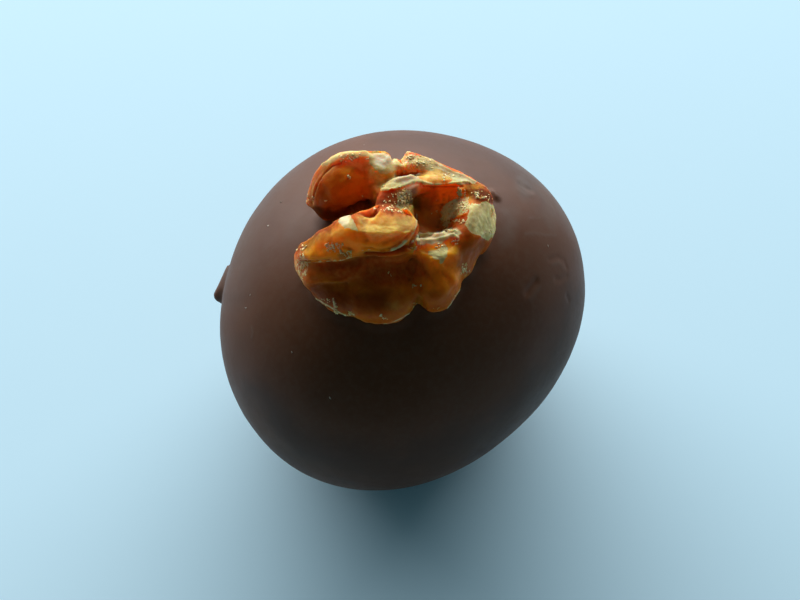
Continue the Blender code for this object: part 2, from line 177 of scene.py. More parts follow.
# Areas of the kernel: name, finish, strength, soft edge in pixels, outline in pixels
AREAS = (
    ("rear_lobe_face", "orange", 0.35, 8, ((345, 162), (370, 167), (374, 184), (352, 188), (336, 180))),
    # Painted glow on the rear lobe's face
    ("rear_lobe_glow", "amber", 0.45, 8,
     ((328, 180), (340, 168), (366, 172), (376, 186), (372, 202), (344, 203), (328, 200))),
    ("rear_lobe_top_gold", "gold", 1.0, 3,
     ((318, 164), (340, 150), (368, 148), (374, 168), (366, 172), (346, 163), (326, 169))),
    # Painted shade on the rear lobe's lower side
    ("rear_lobe_foot", "dark", 0.6, 9, ((311, 202), (374, 198), (376, 216), (318, 224))),
    ("rear_lobe_rim", "gold", 0.5, 2.5,
     ((306, 203), (309, 188), (318, 168), (326, 157), (366, 152), (368, 158), (338, 161), (325, 170),
      (316, 184), (312, 203))),
    ("rear_lobe_rim_inside", "red", 0.6, 2,
     ((310, 201), (312, 188), (318, 175), (325, 169), (320, 181), (315, 192), (313, 203))),
    ("rear_lobe_top", "orange", 0.6, 3, ((327, 161), (343, 156), (344, 163), (330, 167))),
    ("rear_lobe_patch", "cream", 1.0, 1.5,
     ((370, 150), (378, 149), (389, 150), (391, 157), (398, 163), (401, 169), (392, 174), (380, 174),
      (373, 168), (369, 159))),
    ("rear_lobe_patch_pale", "white", 0.7, 3, ((374, 151), (389, 151), (393, 161), (384, 168), (376, 164))),
    ("rear_lobe_grains", "speck", 0.55, 4, ((344, 153), (369, 151), (372, 165), (356, 168), (344, 160))),
    ("rear_lobe_top_pale", "cream", 0.58, 3,
     ((314, 166), (342, 150), (372, 148), (372, 158), (346, 159), (322, 168))),
    ("join_glow", "orange", 0.8, 3,
     ((373, 169), (383, 173), (398, 170), (393, 176), (384, 184), (375, 184))),
    ("join_gold", "gold", 1.0, 3, ((366, 163), (398, 166), (405, 171), (394, 179), (384, 189), (370, 184))),
    ("ridge_cap", "cream", 0.9, 1.5,
     ((381, 190), (384, 183), (390, 178), (397, 174), (404, 175), (407, 180), (403, 186), (395, 188),
      (388, 190))),
    # White on the fold: whitish torn flesh, with a painted highlight on its crest
    ("ridge_fold", "white", 0.6, 2,
     ((396, 177), (404, 174), (416, 175), (420, 179), (410, 181), (402, 183))),
    ("ridge_fold_side", "cream", 0.75, 2, ((402, 176), (416, 174), (424, 180), (418, 182), (404, 186))),
    ("ridge_grey", "white", 0.3, 4, ((405, 183), (421, 183), (418, 194), (408, 197))),
    ("ridge_face", "red", 0.85, 3,
     ((376, 192), (404, 188), (416, 186), (414, 200), (402, 209), (374, 209))),
    ("ridge_grains", "speck", 1.0, 3, ((396, 190), (412, 188), (414, 206), (402, 209), (394, 204))),
    ("ridge_grains_ground", "gold", 1.0, 3, ((396, 188), (414, 187), (415, 206), (403, 210), (394, 204))),
    ("ridge_ledge", "gold", 0.45, 3,
     ((371, 212), (384, 206), (404, 204), (412, 210), (402, 216), (376, 217))),
    ("ridge_ledge_grains", "speck", 0.5, 3,
     ((370, 211), (386, 204), (406, 202), (412, 208), (400, 212), (376, 215))),
    ("hollow_left", "red", 0.6, 5,
     ((413, 194), (424, 185), (436, 186), (437, 210), (440, 230), (417, 231))),
    # Painted glow in the hollow, over its own orange: this row and the next three
    ("hollow_left_glow", "orange", 0.9, 5,
     ((409, 190), (420, 184), (434, 186), (436, 212), (420, 222), (411, 208))),
    ("hollow_right_glow", "amber", 0.7, 5, ((428, 186), (468, 183), (470, 208), (452, 222), (430, 216))),
    ("hollow_right", "orange", 1.0, 5, ((432, 185), (468, 184), (470, 200), (454, 210), (436, 208))),
    ("hollow_foot", "gold", 0.4, 6, ((424, 204), (449, 200), (448, 230), (420, 232))),
    ("hollow_grains", "speck", 0.35, 5, ((452, 186), (468, 186), (468, 202), (452, 204))),
    ("rear_ridge", "cream", 0.55, 2.5,
     ((399, 166), (402, 155), (406, 151), (417, 154), (429, 157), (434, 166), (424, 172), (414, 174),
      (402, 173))),
    ("rear_ridge_grains", "speck", 1.0, 3,
     ((399, 166), (402, 153), (430, 158), (440, 168), (428, 172), (412, 174), (402, 173))),
    ("rear_ridge_dip", "bare_orange", 0.9, 1.5,
     ((402, 165), (406, 161), (412, 164), (418, 165), (417, 170), (408, 172), (403, 170))),
    ("rear_ridge_tan", "gold", 1.0, 3,
     ((419, 173), (432, 166), (447, 171), (449, 180), (436, 184), (420, 182))),
    ("rear_ridge_middle", "cream", 0.8, 2.5, ((413, 156), (430, 157), (440, 166), (432, 173), (418, 171))),
    ("rear_ridge_sparks", "orange", 0.7, 2, ((440, 176), (451, 174), (450, 181), (442, 184))),
    ("rear_ridge_spark_grains", "speck", 0.7, 2, ((438, 173), (452, 173), (452, 182), (440, 184))),
    ("rear_ridge_band", "cream", 0.8, 1.5,
     ((422, 155), (430, 157), (438, 164), (448, 169), (460, 174), (478, 182), (470, 184), (452, 183),
      (450, 176), (440, 170), (430, 163))),
    ("rear_ridge_band_pale", "white", 0.35, 3,
     ((440, 167), (460, 174), (474, 181), (464, 183), (452, 178))),
    ("rear_corner", "orange", 0.8, 2, ((469, 184), (480, 183), (485, 187), (480, 190), (470, 188))),
    ("rear_corner_skin", "dark", 0.75, 2,
     ((473, 189), (484, 188), (492, 195), (495, 203), (489, 203), (484, 196), (476, 194))),
    ("rear_corner_grains", "speck", 0.55, 2,
     ((466, 187), (485, 187), (495, 198), (496, 207), (488, 204), (474, 200))),
    ("right_wall", "red", 0.6, 3, ((448, 204), (466, 196), (468, 208), (464, 226), (450, 230))),
    ("right_wall_grains", "speck", 1.0, 3,
     ((442, 206), (452, 198), (470, 194), (468, 208), (464, 214), (453, 219), (450, 230), (442, 228))),
    ("right_wall_ground", "cream", 0.45, 4,
     ((440, 204), (452, 196), (468, 196), (466, 212), (453, 218), (448, 228), (440, 222))),
    ("right_wall_foot_grains", "speck", 0.8, 2, ((456, 223), (465, 219), (468, 226), (459, 226))),
    ("pale_patch", "cream", 1.0, 1.5,
     ((466, 207), (471, 203), (484, 202), (494, 206), (497, 216), (497, 227), (494, 236), (488, 240),
      (478, 236), (471, 230), (465, 226), (464, 219), (466, 213))),
    ("pale_patch_shade", "gold", 0.45, 4,
     ((484, 214), (496, 212), (497, 230), (490, 239), (478, 235), (482, 226))),
    ("curl_plate", "gold", 1.0, 2.5,
     ((358, 212), (385, 208), (408, 205), (417, 212), (416, 226), (408, 236), (390, 240), (370, 240),
      (359, 232))),
    # Painted glow on the plate's shaded front, over the skin's orange: this row and the next
    ("curl_plate_front", "orange", 1.0, 3,
     ((346, 234), (392, 234), (412, 228), (412, 236), (400, 247), (380, 251), (350, 253))),
    ("curl_plate_front_glow", "amber", 0.4, 3,
     ((346, 238), (392, 238), (412, 232), (412, 238), (400, 247), (380, 251), (350, 253))),
    ("curl_plate_patch", "red", 0.4, 2.5,
     ((390, 242), (397, 237), (406, 235), (407, 238), (401, 243), (393, 247))),
    ("curl_left", "orange", 1.0, 4,
     ((301, 244), (325, 233), (345, 220), (362, 232), (366, 250), (350, 259), (310, 263))),
    ("curl_left_pale", "gold", 0.45, 4,
     ((314, 238), (330, 231), (342, 226), (346, 234), (330, 241), (318, 246))),
    ("curl_spot", "cream", 1.0, 1.2,
     ((338, 216), (343, 213), (348, 213), (353, 219), (357, 226), (359, 233), (351, 230), (343, 226),
      (339, 221))),
    ("curl_spot_pale", "white", 0.4, 2, ((339, 217), (346, 214), (350, 220), (348, 226), (342, 224))),
    ("curl_grains", "speck", 0.7, 2,
     ((324, 245), (330, 240), (340, 242), (346, 250), (338, 256), (326, 254))),
    ("curl_pit", "dark", 0.5, 1.5, ((339, 254), (348, 253), (350, 256), (344, 259), (339, 258))),
    # Painted glow under the curl's grains
    ("curl_grains_ground", "amber", 0.4, 4,
     ((316, 242), (334, 236), (356, 238), (358, 256), (340, 259), (318, 257))),
    ("left_end", "cream", 0.3, 2,
     ((299, 250), (306, 250), (303, 266), (305, 280), (301, 285), (295, 278), (294, 264))),
    ("left_end_grains", "speck", 0.8, 2,
     ((296, 256), (306, 254), (309, 262), (308, 276), (303, 286), (294, 278))),
    # Painted shade on the front face
    ("front_face", "dark", 0.15, 7,
     ((306, 272), (340, 268), (396, 262), (404, 272), (392, 290), (350, 304), (325, 298), (306, 284))),
    ("front_face_red", "red", 0.85, 6,
     ((312, 261), (380, 254), (402, 256), (426, 264), (428, 278), (396, 286), (340, 280), (316, 272))),
    # Painted shade on the lower left of the front
    ("front_low_left", "dark", 0.85, 8,
     ((306, 284), (330, 286), (352, 292), (392, 292), (388, 312), (345, 314), (308, 296))),
    # Painted shade at the front foot
    ("front_foot", "dark", 0.2, 8, ((350, 298), (395, 290), (412, 300), (400, 320), (365, 322))),
    # Painted highlight on the front foot
    ("front_foot_highlight", "gold", 0.4, 3, ((384, 303), (398, 301), (401, 306), (396, 311), (388, 311))),
    ("front_left_grains", "speck", 0.5, 3,
     ((308, 290), (332, 298), (352, 308), (352, 318), (330, 308), (308, 296))),
    # Painted shade low on the front
    ("front_low", "dark", 0.1, 6, ((406, 280), (424, 280), (436, 292), (430, 312), (410, 306))),
    # Painted glow on the front's right side
    ("front_right_glow", "amber", 0.7, 6,
     ((386, 256), (412, 254), (428, 264), (432, 282), (410, 294), (386, 284))),
    # The shade rows from here on are painted shade: along the rear lobe's rim and in its cleft, under the
    # curl's lip and the ledge, and over lit tops and edges
    ("rear_lobe_rim_shade", "shade", 0.6, 4,
     ((304, 203), (306, 186), (314, 168), (322, 160), (330, 163), (322, 176), (314, 203))),
    ("rear_lobe_cleft", "shade", 1.0, 3,
     ((305, 202), (312, 205), (332, 210), (354, 205), (376, 202), (376, 213), (358, 213), (338, 218),
      (318, 224))),
    ("rear_lobe_low", "shade", 0.1, 12, ((310, 192), (370, 190), (376, 214), (320, 222))),
    ("curl_under", "shade", 0.5, 3,
     ((364, 252), (392, 253), (404, 248), (412, 240), (417, 236), (417, 244), (404, 256), (364, 260))),
    ("ledge_under", "shade", 0.3, 3,
     ((307, 267), (330, 265), (352, 260), (364, 256), (366, 264), (330, 271), (308, 272))),
    ("rear_lobe_left_shade", "shade", 0.2, 8, ((308, 176), (324, 158), (342, 164), (338, 200), (310, 206))),
    ("rear_lobe_top_shade", "shade", 0.15, 5,
     ((320, 160), (344, 150), (370, 148), (372, 168), (346, 170), (326, 172))),
    ("ledge_top_shade", "shade", 0.9, 3,
     ((352, 202), (372, 198), (420, 199), (420, 209), (408, 206), (384, 207), (354, 211))),
    ("plate_end_shade", "shade", 0.6, 4, ((396, 210), (420, 208), (422, 228), (410, 236), (400, 230))),
    ("corner_shade", "shade", 0.8, 3,
     ((464, 181), (482, 180), (494, 194), (495, 206), (482, 203), (470, 200), (464, 192))),
    ("curl_left_shade", "shade", 0.9, 5,
     ((290, 254), (296, 238), (312, 222), (338, 212), (340, 222), (322, 236), (308, 250))),
    ("flap_shade", "shade", 0.45, 4, ((438, 222), (474, 221), (474, 234), (440, 236))),
    ("flap_pale", "cream", 0.8, 2,
     ((413, 234), (434, 232), (456, 228), (462, 234), (446, 239), (418, 242))),
    ("flap_whitish", "white", 0.3, 2,
     ((413, 234), (434, 232), (456, 228), (462, 234), (446, 239), (418, 242))),
    ("spot_side_shade", "shade", 0.55, 3, ((346, 207), (368, 207), (368, 219), (354, 223), (348, 214))),
    ("rear_ridge_dip_glow", "orange", 0.9, 2, ((399, 168), (405, 160), (420, 162), (422, 171), (402, 174))),
    ("sill_shade", "shade", 0.2, 3,
     ((412, 232), (434, 232), (457, 228), (458, 238), (434, 240), (412, 242))),
    ("rear_band_shade", "shade", 0.45, 4,
     ((414, 152), (430, 155), (480, 180), (474, 188), (440, 178), (420, 164))),
    ("ridge_shade", "shade", 0.5, 4,
     ((380, 190), (388, 177), (404, 172), (424, 177), (424, 184), (400, 188))),
    ("ridge_face_shade", "shade", 0.7, 3,
     ((374, 192), (404, 188), (418, 186), (416, 202), (402, 208), (374, 208))),
    # Painted glow on the knob and its notch, over the skin's orange: this row and the next two
    ("knob_top", "orange", 1.0, 3,
     ((411, 243), (430, 240), (456, 239), (456, 254), (448, 266), (436, 270), (414, 264))),
    ("knob_top_glow", "amber", 0.5, 3,
     ((411, 243), (430, 240), (456, 239), (456, 254), (448, 266), (436, 270), (414, 264))),
    ("notch_glow", "amber", 0.5, 4, ((404, 246), (424, 242), (432, 252), (432, 264), (412, 266))),
    ("notch_gold", "gold", 0.5, 3, ((408, 246), (428, 243), (430, 252), (416, 256))),
    ("notch_red", "red", 0.5, 3, ((392, 256), (408, 254), (418, 266), (420, 276), (402, 270))),
    ("knob_patch", "cream", 0.7, 2.5,
     ((427, 251), (435, 245), (444, 241), (448, 244), (449, 253), (446, 261), (441, 268), (434, 264),
      (430, 256))),
    ("knob_patch_grains", "speck", 0.7, 2, ((434, 243), (448, 240), (449, 250), (438, 250))),
    ("knob_side", "gold", 0.15, 4, ((449, 242), (458, 240), (459, 252), (451, 260))),
    ("knob_front", "gold", 0.25, 4, ((442, 270), (456, 268), (461, 276), (456, 286), (446, 286))),
    # Painted glow on the knob's shaded face
    ("knob_face", "amber", 0.8, 6,
     ((404, 258), (436, 260), (454, 258), (463, 274), (452, 292), (424, 290))),
    # Painted shade at the knob's foot
    ("knob_foot", "dark", 0.2, 6, ((424, 290), (452, 286), (450, 306), (428, 311))),
    ("right_flank", "dark", 0.25, 6, ((462, 238), (488, 240), (482, 260), (468, 274), (458, 262))),
    ("flank_grains", "speck", 0.7, 2, ((462, 266), (468, 263), (470, 270), (464, 276))),
)

# Areas that are flat: how far they are flattened, and which way they face where that isn't their mean
FLAT = {
    "rear_lobe_patch": (0.6, (0.05, 0.25, 0.97)),
    "pale_patch": (0.6, None),
    "knob_top": (0.7, (0.0, 0.45, 0.89)),
    "curl_plate": (0.75, (0.03, 0.40, 0.92)),
    "ridge_face": (0.5, (0.0, -0.45, 0.9)),
    "curl_spot": (0.3, None),
    "rear_ridge_tan": (0.3, None),
    "front_face": (0.25, None),
}

# Raised or sunken lines on the kernel:
# name, height and half width in mm, shares of cream and white, points in pixels
LINES = (
    ("rear_lobe_step", -0.16, 0.26, 0.0, 0.0,
     ((312, 204), (314, 193), (318, 182), (324, 173), (332, 166), (341, 163))),
    ("rear_lobe_outline", 0.05, 0.22, 0.85, 0.3,
     ((306, 203), (306, 195), (309, 184), (314, 174), (318, 167), (324, 163))),
    ("rear_lobe_top_edge", 0.05, 0.22, 0.7, 0.0, ((345, 154), (355, 152), (368, 151))),
    ("rear_valley", 0.2, 1.0, 0.0, 0.0, ((413, 166), (424, 169), (438, 174))),
    ("right_wall_bulge", 0.5, 1.2, 0.0, 0.0, ((449, 203), (450, 213), (448, 224))),
    ("cleft_end", -0.75, 1.0, 0.0, 0.0, ((348, 214), (356, 211), (364, 209), (371, 208))),
    ("cleft_end_top", -0.6, 0.8, 0.0, 0.0, ((354, 209), (361, 206), (368, 204))),
    ("ridge_cap_front", 0.16, 0.3, 0.85, 0.0,
     ((382, 190), (389, 190), (397, 188), (405, 185), (411, 182), (421, 181))),
    # White on the fold: whitish torn flesh, with a painted highlight on its crest
    ("ridge_fold", 0.22, 0.35, 0.8, 0.8, ((396, 181), (402, 179), (410, 177), (418, 176))),
    ("hollow_brow", 0.2, 0.2, 0.95, 0.1,
     ((422, 182), (432, 184), (443, 184), (452, 183), (462, 182), (470, 183))),
    ("hollow_brow_under", -0.2, 0.3, 0.0, 0.0,
     ((424, 186), (434, 188), (444, 188), (453, 187), (463, 186))),
    ("hollow_sill", 0.34, 0.32, 1.0, 0.9,
     ((416, 236), (424, 235), (434, 236), (441, 235), (448, 232), (455, 232))),
    ("hollow_sill_fold", 0.22, 0.2, 0.8, 0.7,
     ((414, 240), (424, 239), (434, 238), (446, 236), (454, 234), (458, 237))),
    ("rear_edge", 0.08, 0.3, 0.95, 0.3,
     ((403, 153), (410, 152), (420, 154), (429, 157), (437, 164), (449, 170), (462, 175), (476, 182))),
    ("corner_edge", 0.06, 0.25, 0.3, 0.2, ((478, 183), (486, 188), (492, 195), (495, 204))),
    ("corner_curls", 0.2, 0.26, 1.0, 0.8, ((474, 192), (477, 194), (477, 198), (481, 199), (485, 198))),
    ("right_wall_streak", 0.15, 0.3, 0.0, 0.0, ((451, 222), (456, 218), (464, 214))),
    ("curl_lip_right", 0.16, 0.24, 0.8, 0.25,
     ((391, 250), (400, 246), (407, 240), (413, 232), (416, 224), (416, 215))),
    ("curl_lip_left", 0.18, 0.26, 0.6, 0.0,
     ((306, 262), (318, 261), (330, 260), (341, 259), (351, 256), (351, 251), (344, 249))),
    # A raised lip with a painted highlight in cream along it
    ("curl_lip_middle_highlight", 0.08, 0.2, 0.45, 0.0, ((362, 250), (370, 249), (378, 250))),
    ("curl_lip_groove", -0.3, 0.34, 0.0, 0.0,
     ((366, 254), (378, 254), (390, 255), (401, 251), (411, 244), (418, 236))),
    ("curl_plate_rim", 0.12, 0.3, 0.0, 0.0, ((364, 244), (376, 246), (389, 246), (400, 240), (408, 232))),
    ("curl_crease", -0.14, 0.5, 0.0, 0.0, ((361, 224), (363, 233), (368, 243))),
    ("curl_crease_low", -0.2, 0.35, 0.0, 0.0, ((386, 254), (396, 252), (404, 247), (412, 240))),
    ("left_step", 0.1, 0.3, 0.12, 0.0, ((308, 284), (320, 282), (331, 281), (342, 281), (350, 277))),
    ("left_step_under", -0.12, 0.4, 0.0, 0.0, ((310, 289), (322, 286), (334, 285), (346, 284))),
    ("front_edge_left", 0.06, 0.2, 1.0, 0.45,
     ((303, 288), (309, 294), (318, 299), (326, 304), (335, 310), (345, 315))),
    ("front_edge_foot", 0.06, 0.2, 1.0, 0.45,
     ((345, 315), (355, 319), (366, 323), (379, 325), (391, 323), (401, 318), (410, 313))),
    ("knob_edge", 0.06, 0.2, 1.0, 0.45,
     ((424, 311), (433, 313), (444, 311), (451, 303), (457, 294), (463, 285), (471, 273))),
    ("flank_edge", 0.08, 0.22, 1.0, 0.3, ((471, 273), (479, 261), (487, 249), (492, 240))),
    ("front_flake", 0.2, 0.24, 0.5, 0.4, ((334, 299), (335, 305), (336, 313))),
    ("knob_ridge", 0.14, 0.5, 0.0, 0.0, ((431, 262), (440, 268), (450, 274), (456, 282))),
    ("knob_groove", -0.1, 0.4, 0.0, 0.0, ((411, 262), (419, 268), (428, 275), (434, 283))),
    ("knob_top", -0.06, 0.5, 0.0, 0.0, ((424, 246), (428, 256), (432, 266))),
)

# Soft areas of the chocolate: name, finish, strength, soft edge in pixels, outline in pixels
BODY_AREAS = (
    # Painted sheen on the ball's left side
    ("left_sheen", "bloom", 0.5, 24,
     ((228, 262), (238, 226), (262, 194), (296, 166), (302, 176), (276, 214), (256, 250), (246, 290),
      (228, 300))),
    ("left_smudge", "bloom", 0.55, 6,
     ((234, 240), (238, 226), (250, 218), (254, 226), (246, 240), (238, 248))),
    # Painted highlight under the rear lobe
    ("under_rear_lobe_highlight", "bloom", 0.3, 12,
     ((284, 222), (302, 206), (330, 214), (318, 234), (298, 244), (286, 240))),
    ("right_smudge", "bloom", 0.75, 7,
     ((514, 190), (512, 178), (522, 174), (536, 184), (536, 196), (524, 198))),
    ("right_smudge_foot", "bloom", 0.6, 4, ((518, 192), (528, 190), (532, 195), (524, 198))),
    ("near_pale_patch", "bloom", 0.5, 8, ((500, 212), (510, 206), (518, 222), (512, 244), (502, 240))),
    # Bloom and painted sheen on the rear right
    ("rear_right_bloom_and_sheen", "bloom", 0.6, 14,
     ((500, 140), (530, 156), (560, 196), (568, 230), (548, 222), (516, 168))),
    # Painted shade on the chocolate behind the walnut
    ("rear_deep", "painted_shade", 0.6, 14,
     ((370, 128), (440, 128), (500, 146), (540, 180), (536, 200), (498, 180), (440, 158), (400, 150),
      (372, 150))),
    # Painted shade towards the ball's foot
    ("foot_deep", "painted_shade", 0.9, 18,
     ((244, 380), (290, 462), (390, 496), (500, 456), (570, 370), (590, 290), (572, 290), (548, 360),
      (490, 416), (390, 450), (310, 434), (262, 380))),
)

# Raised or sunken marks on the chocolate: name, height and half width in mm, bloom share, points in pixels
BODY_LINES = (
    ("right_dent", -0.10, 0.7, 0.0, ((521, 184), (526, 188), (531, 190))),
    ("right_dent_lip", 0.03, 0.6, 0.6, ((519, 191), (525, 195), (531, 195))),
    ("scratch_long", 0.012, 0.3, 0.5, ((526, 234), (536, 233), (546, 235), (556, 235))),
    ("scratch_short", 0.010, 0.3, 0.35, ((530, 218), (538, 218), (546, 217))),
    ("wrinkle_top", -0.04, 0.45, 0.0, ((550, 260), (557, 257), (564, 260), (567, 268))),
    ("wrinkle_lip", 0.02, 0.4, 0.3, ((552, 264), (559, 262), (563, 268))),
    ("wrinkle_foot", -0.05, 0.5, 0.0, ((567, 276), (561, 280), (556, 279))),
    ("dimple", -0.10, 0.8, 0.0, ((536, 282), (532, 287), (528, 292))),
    ("dimple_lip", 0.02, 0.6, 0.3, ((539, 286), (534, 292), (530, 298))),
    ("side_mark", -0.06, 0.5, 0.0, ((567, 296), (569, 300))),
    ("walnut_bump", 0.3, 0.7, 0.0, ((493, 193), (496, 197))),
    ("left_streak", 0.03, 0.25, 0.5, ((252, 326), (253, 332), (252, 337))),
)

# How far the drawn tail sits below its solid along the ball's side, as pairs of height and shift, and the
# columns over which the shift fades out. These and the ball's radius are in pixels
TAIL_SHIFT = ((222, 0.0), (251, 17.0), (289, 5.0), (297, 7.0), (335, 0.0))
TAIL_FADE = (240.0, 265.0)
BALL_MIDDLE = Vector((0.0, 0.0, 17.5)) * MM
BALL_RADIUS = 183.0

# Small pale specks on the chocolate, in pixels
BODY_SPECKS = ((281, 202), (250, 295), (246, 308), (364, 145), (268, 226), (330, 398), (292, 352), (548, 246))

# Loose crumbs of skin and kernel: name, where in pixels, spread in pixels, how many, size in mm
CRUMBS = (
    ("rear_lobe_top", (352, 158), (14, 7), 18, 0.10),
    ("rear_lobe_middle", (349, 176), (2, 2), 2, 0.12),
    ("rear_lobe_low", (362, 197), (2, 2), 1, 0.12),
    ("rear_lobe_end", (313, 197), (1, 2), 3, 0.13),
    ("rear_lobe_foot", (327, 201), (2, 1), 2, 0.10),
    ("rear_lobe_rim", (308, 198), (2, 8), 6, 0.09),
    ("ridge_cap", (383, 187), (4, 3), 5, 0.12),
    ("ridge_face", (392, 198), (14, 8), 14, 0.08),
    ("ridge_side", (404, 198), (5, 9), 30, 0.12),
    ("ridge_ledge", (390, 209), (16, 4), 26, 0.11),
    ("rear_ridge_end", (410, 156), (7, 4), 18, 0.13),
    ("rear_ridge_top", (420, 163), (12, 7), 36, 0.12),
    ("rear_ridge_sparks", (447, 177), (5, 4), 12, 0.12),
    ("rear_ridge_band", (460, 176), (12, 5), 8, 0.08),
    ("hollow_corner", (461, 192), (5, 6), 16, 0.12),
    ("rear_corner", (478, 195), (5, 4), 12, 0.13),
    ("rear_corner_edge", (488, 198), (5, 7), 10, 0.09),
    ("right_wall", (453, 212), (5, 8), 26, 0.13),
    ("right_wall_top", (461, 205), (5, 5), 14, 0.13),
    ("right_wall_foot", (461, 222), (5, 3), 10, 0.13),
    ("hollow", (436, 208), (8, 10), 6, 0.08),
    ("curl_grains", (334, 247), (8, 5), 26, 0.12),
    ("curl_lip", (346, 253), (6, 4), 10, 0.11),
    ("left_end", (301, 262), (4, 16), 34, 0.11),
    ("left_end_top", (303, 246), (3, 4), 10, 0.12),
    ("notch", (416, 247), (6, 2), 9, 0.10),
    ("knob_patch", (441, 246), (6, 4), 10, 0.11),
    ("knob_side", (456, 242), (5, 3), 7, 0.09),
    ("right_flank", (465, 270), (4, 6), 18, 0.12),
    ("knob_groove", (415, 286), (6, 3), 7, 0.10),
    ("front_face", (390, 272), (3, 6), 5, 0.09),
    ("front_edge", (350, 314), (6, 3), 12, 0.11),
    ("front_flake", (336, 311), (2, 5), 8, 0.12),
    ("front_edge_left", (326, 302), (12, 5), 12, 0.08),
    ("front_foot", (383, 317), (4, 3), 6, 0.11),
    ("notch_foot", (416, 306), (3, 3), 6, 0.12),
    ("knob_foot", (440, 308), (10, 3), 6, 0.08),
    ("knob_edge", (457, 296), (2, 3), 4, 0.10),
    ("pale_patch_foot", (487, 232), (5, 4), 5, 0.08),
)


def link(obj):
    """The object, put into the scene."""
    bpy.context.scene.collection.objects.link(obj)
    return obj


def object_from(bm, name):
    """A new object with the mesh that was built up in bm."""
    mesh = bpy.data.meshes.new(name)
    bm.to_mesh(mesh)
    bm.free()
    return link(bpy.data.objects.new(name, mesh))


def tree_of(obj):
    """The object's surface as a tree that answers rays and nearest points."""
    return BVHTree.FromObject(obj, bpy.context.evaluated_depsgraph_get())


def eased(share):
    """A share from 0 to 1 with a soft start and a soft end."""
    return share * share * (3.0 - 2.0 * share)


def applied(obj):
    """The object with its modifiers worked into its mesh."""
    bpy.context.view_layer.update()
    depsgraph = bpy.context.evaluated_depsgraph_get()
    mesh = bpy.data.meshes.new_from_object(obj.evaluated_get(depsgraph))
    obj.modifiers.clear()
    obj.data = mesh
    return obj


def piece_from_node(node, name, voxel, passes):
    """A fine, smooth copy of a node's shape as a new object."""
    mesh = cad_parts[node].data.copy()
    mesh.materials.clear()
    bm = bmesh.new()
    bm.from_mesh(mesh)
    bmesh.ops.remove_doubles(bm, verts=bm.verts[:], dist=WELD)
    bm.to_mesh(mesh)
    bm.free()
    obj = link(bpy.data.objects.new(name, mesh))
    remesh = obj.modifiers.new("fine", "REMESH")
    remesh.mode = "VOXEL"
    remesh.voxel_size = voxel
    remesh.use_smooth_shade = True
    soften = obj.modifiers.new("soften", "SMOOTH")
    soften.factor = 0.5
    soften.iterations = passes
    return applied(obj)


# The camera and what it sees

BACK = Vector((0.0, -math.cos(ELEVATION), math.sin(ELEVATION)))
EYE = AIM + BACK * DISTANCE
AHEAD = -BACK
RIGHT = Vector((1.0, 0.0, 0.0))
UP = RIGHT.cross(AHEAD)
FOCAL = LENS / SENSOR * FRAME_WIDTH


def sight(x, y):
    """The direction from the camera through a point of the picture."""
    across = (x - FRAME_WIDTH / 2.0) / FOCAL
    along = (FRAME_HEIGHT / 2.0 - y) / FOCAL
    return (AHEAD + RIGHT * across + UP * along).normalized()


def picture(points):
    """Where points of space fall in the picture."""
    offset = points - np.array(EYE)
    depth = offset @ np.array(AHEAD)
    x = FRAME_WIDTH / 2.0 + FOCAL * (offset @ np.array(RIGHT)) / depth
    y = FRAME_HEIGHT / 2.0 - FOCAL * (offset @ np.array(UP)) / depth
    return np.stack([x, y], axis=1)


